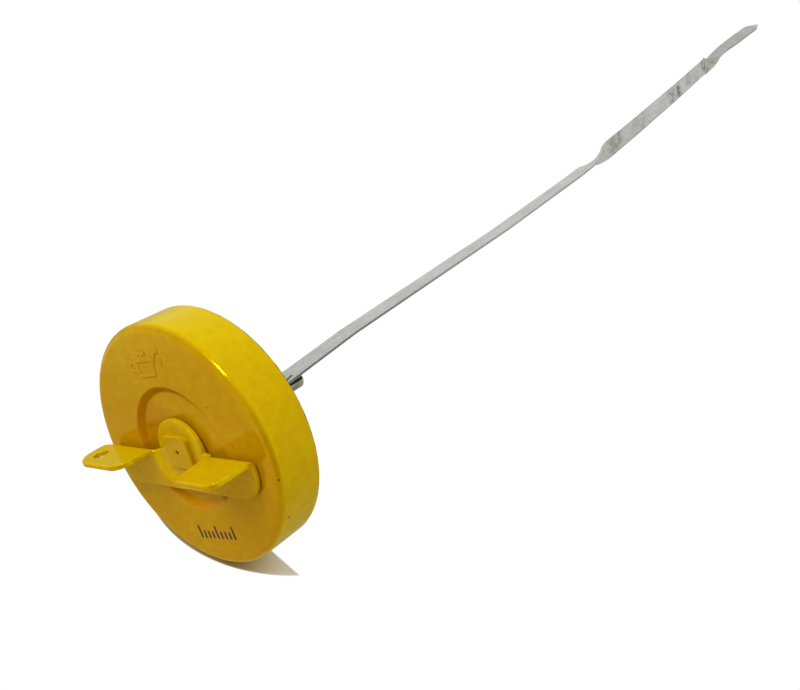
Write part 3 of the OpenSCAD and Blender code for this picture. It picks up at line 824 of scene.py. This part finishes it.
def printed_marks(material):
    """Plain stencilled scale: a row of long and short bars that stand on one line."""
    solid = bmesh.new()
    for i in range(BAR_COUNT):
        u = -BAR_ROW_W / 2 + BAR_ROW_W * i / (BAR_COUNT - 1)
        tall = LONG_BAR if i % LONG_EVERY == 0 else SHORT_BAR
        bar_block(solid, u, (tall - LONG_BAR) / 2, tall)
    mesh = finished_mesh("printed_marks", solid)
    marks = mesh_object("printed_marks", mesh, material, smooth=False)
    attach(marks, "cap")


# Room

def place_by_axes(item, x_axis, y_axis, z_axis, at):
    """Puts an object at a point, with its own axes along three directions."""
    item.matrix_world = Matrix((
        (x_axis[0], y_axis[0], z_axis[0], at[0]),
        (x_axis[1], y_axis[1], z_axis[1], at[1]),
        (x_axis[2], y_axis[2], z_axis[2], at[2]),
        (0, 0, 0, 1),
    ))


# Tabletop: the way it faces, the way its X runs, how far it lies from the origin, half its size,
# and the distances between which it fades out
FLOOR_UP = Vector((0.408, 0.9005, 0.149)).normalized()
FLOOR_ALONG = Vector((0.76600, -0.24900, -0.59266))
FLOOR_DOWN = 39.15 * MM
FLOOR_HALF = 0.3
FLOOR_FADE = (0.10, 0.17)

# Its colours: white, and a painted shadow that only the eye sees, brown near the cap and fading out
# up to this far along X
FLOOR_WHITE = (0.98, 0.98, 0.98, 1)
FLOOR_PAINTED_SHADOW = (0.36, 0.27, 0.12, 1)
SHADE_END = (6 * MM, 25 * MM)

# Share of light that passes it, so that the gap under the rim isn't black from below
FLOOR_PASSES = 0.6

# The part of it that is seen: a curved band under the cap, cut off at its left and right end
BAND_CENTRE = (26.5 * MM, 38.0 * MM, 0.0)
BAND_R = 55.3 * MM
BAND_W = 10 * MM
BAND_OUTSIDE = (BAND_R - 0.3 * MM, BAND_R + 0.3 * MM)
BAND_INSIDE = (BAND_R - BAND_W - 0.5 * MM, BAND_R - BAND_W + 0.5 * MM)
BAND_LEFT_END = (10 * MM, 12 * MM)
BAND_RIGHT_WAY = (0.694, 0.720, 0.0)
BAND_RIGHT_END = (7.4 * MM, 8.0 * MM)


def seen_band(tree, where, at):
    """Mask of the curved band of tabletop that the eye sees."""
    outer = spot(tree, where, BAND_CENTRE, *BAND_OUTSIDE)
    inner = spot(tree, where, BAND_CENTRE, *BAND_INSIDE)
    band = calc(tree, "SUBTRACT", outer, inner)
    beyond = put(tree, "ShaderNodeVectorMath", {0: where, 1: BAND_RIGHT_WAY}, operation="DOT_PRODUCT")
    return times(tree, band, under(tree, at["Y"], BAND_LEFT_END),
                 under(tree, beyond.outputs["Value"], BAND_RIGHT_END))


def floor_paint():
    """White tabletop with a painted contact shadow: the eye sees the shaded band under the cap alone,
    and nothing from below.
    """
    material = bpy.data.materials.new("white_tabletop")
    material.use_nodes = True
    tree = material.node_tree
    tree.nodes.clear()
    result = put(tree, "ShaderNodeOutputMaterial")
    ray = put(tree, "ShaderNodeLightPath").outputs
    side = put(tree, "ShaderNodeNewGeometry").outputs
    where = put(tree, "ShaderNodeTexCoord").outputs["Object"]
    at = split(tree, where)
    # Painted shadow: where the eye looks, the tabletop is coloured brown near the cap.
    shaded = times(tree, under(tree, at["X"], SHADE_END), ray["Is Camera Ray"])
    matt = put(tree, "ShaderNodeBsdfDiffuse", {
        "Color": mix_colour(tree, shaded, FLOOR_WHITE, FLOOR_PAINTED_SHADOW)})
    clear = put(tree, "ShaderNodeBsdfTransparent")

    away = put(tree, "ShaderNodeVectorMath", {0: where}, operation="LENGTH")
    gone = over(tree, away.outputs["Value"], FLOOR_FADE)
    outside = calc(tree, "SUBTRACT", 1.0, seen_band(tree, where, at))
    unseen = times(tree, outside, ray["Is Camera Ray"])
    passing = calc(tree, "MAXIMUM", ray["Is Diffuse Ray"], ray["Is Shadow Ray"])
    hidden = most(tree, [gone, unseen, side["Backfacing"], times(tree, passing, FLOOR_PASSES)])
    final = put(tree, "ShaderNodeMixShader", {0: hidden, 1: matt.outputs[0], 2: clear.outputs[0]})
    feed(tree, result.inputs["Surface"], final.outputs[0])
    return material


def lay_floor():
    """Tabletop that the skirt's edge and the strip's tip rest on."""
    sheet = bmesh.new()
    bmesh.ops.create_grid(sheet, x_segments=2, y_segments=2, size=FLOOR_HALF)
    floor = mesh_object("tabletop", finished_mesh("tabletop", sheet), floor_paint(), smooth=False)
    across = FLOOR_UP.cross(FLOOR_ALONG).normalized()
    place_by_axes(floor, FLOOR_ALONG, across, FLOOR_UP, -FLOOR_UP * FLOOR_DOWN)


# Studio: what lights the object and what it mirrors, behind the cap and before its face
ROOM_BEHIND = (0.60, 0.60, 0.57, 1)
ROOM_BEFORE = (0.36, 0.31, 0.22, 1)
MIRROR_BEHIND = (1.15, 1.15, 1.13, 1)
MIRROR_BEFORE = (1.0, 1.0, 0.96, 1)
BEFORE_FACE = (-0.3, 0.7)
WHITE = (1, 1, 1, 1)

# Dark corners and a white card that only the gloss shows: direction, inner and outer size
DARK = (0.3, 0.29, 0.26, 1)
DARK_CORNERS = [
    ((0.72, -0.25, 0.65), 0.35, 0.75),
    ((-0.98, 0.05, -0.2), 0.25, 0.6),
]
CARD_WHITE = (1.5, 1.7, 1.4, 1)
CARD = ((-0.80, -0.33, 0.50), 0.45, 0.8)


def hang_sky():
    """White studio: white to the camera, bright behind the cap, dimmer and warmer before it."""
    world = bpy.data.worlds.new("studio")
    bpy.context.scene.world = world
    world.use_nodes = True
    tree = world.node_tree
    tree.nodes.clear()
    result = put(tree, "ShaderNodeOutputWorld")
    ray = put(tree, "ShaderNodeLightPath").outputs
    way = put(tree, "ShaderNodeTexCoord").outputs["Generated"]
    before = over(tree, split(tree, way)["Z"], BEFORE_FACE)
    room = mix_colour(tree, before, ROOM_BEHIND, ROOM_BEFORE)
    mirrored = mix_colour(tree, before, MIRROR_BEHIND, MIRROR_BEFORE)
    corners = most(tree, [spot(tree, way, *corner) for corner in DARK_CORNERS])
    mirrored = mix_colour(tree, corners, mirrored, DARK)
    mirrored = mix_colour(tree, spot(tree, way, *CARD), mirrored, CARD_WHITE)
    colour = mix_colour(tree, ray["Is Glossy Ray"], room, mirrored)
    colour = mix_colour(tree, ray["Is Camera Ray"], colour, WHITE)
    light = put(tree, "ShaderNodeBackground", {"Color": colour, "Strength": 1.0})
    feed(tree, result.inputs["Surface"], light.outputs[0])


LAMP_DISTANCE = 0.9


def hang_lamp(name, direction, along, size, watts, colour, lights, mirrored):
    """A rectangular lamp that points at the cap, to light it or to be mirrored in it."""
    lamp = bpy.data.lights.new(name, "AREA")
    lamp.shape = "RECTANGLE"
    lamp.size = size[0]
    lamp.size_y = size[1]
    lamp.energy = watts
    lamp.color = colour
    made = bpy.data.objects.new(name, lamp)
    made.visible_diffuse = lights
    made.visible_glossy = mirrored
    bpy.context.scene.collection.objects.link(made)
    towards = Vector(direction).normalized()
    high = towards.cross(Vector(along)).normalized()
    wide = high.cross(towards)
    place_by_axes(made, wide, high, towards, towards * LAMP_DISTANCE)


# Camera at the photograph's viewing angle: its place, its own axes and its lens
CAMERA_AT = (0.2076, 0.0857, 0.1332)
CAMERA_RIGHT = (0.76673, -0.24739, -0.59239)
CAMERA_UP = (0.000513, 0.92300, -0.38480)
CAMERA_BACK = (0.64197, 0.29473, 0.70782)
PICTURE_W_PX = 800
FOCAL_PX = 880
SENSOR_W = 36.0


def set_camera():
    """The camera, with a focal length given in the picture's own pixels."""
    lens = bpy.data.cameras.new("camera")
    lens.sensor_width = SENSOR_W
    lens.lens = SENSOR_W * FOCAL_PX / PICTURE_W_PX
    lens.clip_start = 0.01
    lens.clip_end = 20.0
    camera = bpy.data.objects.new("camera", lens)
    bpy.context.scene.collection.objects.link(camera)
    place_by_axes(camera, CAMERA_RIGHT, CAMERA_UP, CAMERA_BACK, CAMERA_AT)
    bpy.context.scene.camera = camera


def dress(finishes):
    """Gives each CAD node its finish."""
    for name, material in finishes.items():
        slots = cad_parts[name].data.materials
        slots.clear()
        slots.append(material)


# The dressed object

cap_paint = cap_enamel()
handle_paint = handle_enamel()
zinc = plated_steel("zinc_plate", ZINC, ZINC_DULL, 0.26)
spring_wire = plated_steel("spring_wire", WIRE, WIRE_DULL, 0.3)
rubber = sealing_rubber()
dress({
    "cap_shell": cap_paint,
    "gasket": rubber,
    "gasket_retainer": zinc,
    "stem_seal": rubber,
    "wing_handle": handle_paint,
    "hub_washer": zinc,
    "stem": stem_finish(),
    "seal_cup": zinc,
    "spring": spring_wire,
    "bar_washer": zinc,
    "lock_bar": zinc,
    "cross_pin": spring_wire,
    "gauge_blade": strip_steel(),
    "blade_rivets": zinc,
})
painted_handle(handle_paint)
raised_sign(cap_paint)
printed_marks(marking_ink())

# The stage around it

lay_floor()
hang_sky()
hang_lamp("key", direction=(0.10, 0.84, 0.50), along=(1, 0, 0), size=(0.6, 0.42),
          watts=3.9, colour=(0.97, 1.0, 0.90), lights=True, mirrored=False)
hang_lamp("strip_light", direction=(0.42, 0.74, 0.53), along=(0.66, -0.40, 0.14), size=(0.9, 0.07),
          watts=1.7, colour=(1.0, 1.0, 0.95), lights=True, mirrored=False)
hang_lamp("edge_gleam", direction=(0.45, 0.66, 0.60), along=(0.76, -0.38, -0.17), size=(0.86, 0.045),
          watts=3.6, colour=(0.8, 1.0, 1.3), lights=False, mirrored=True)
set_camera()

bpy.context.scene.view_settings.view_transform = "Standard"
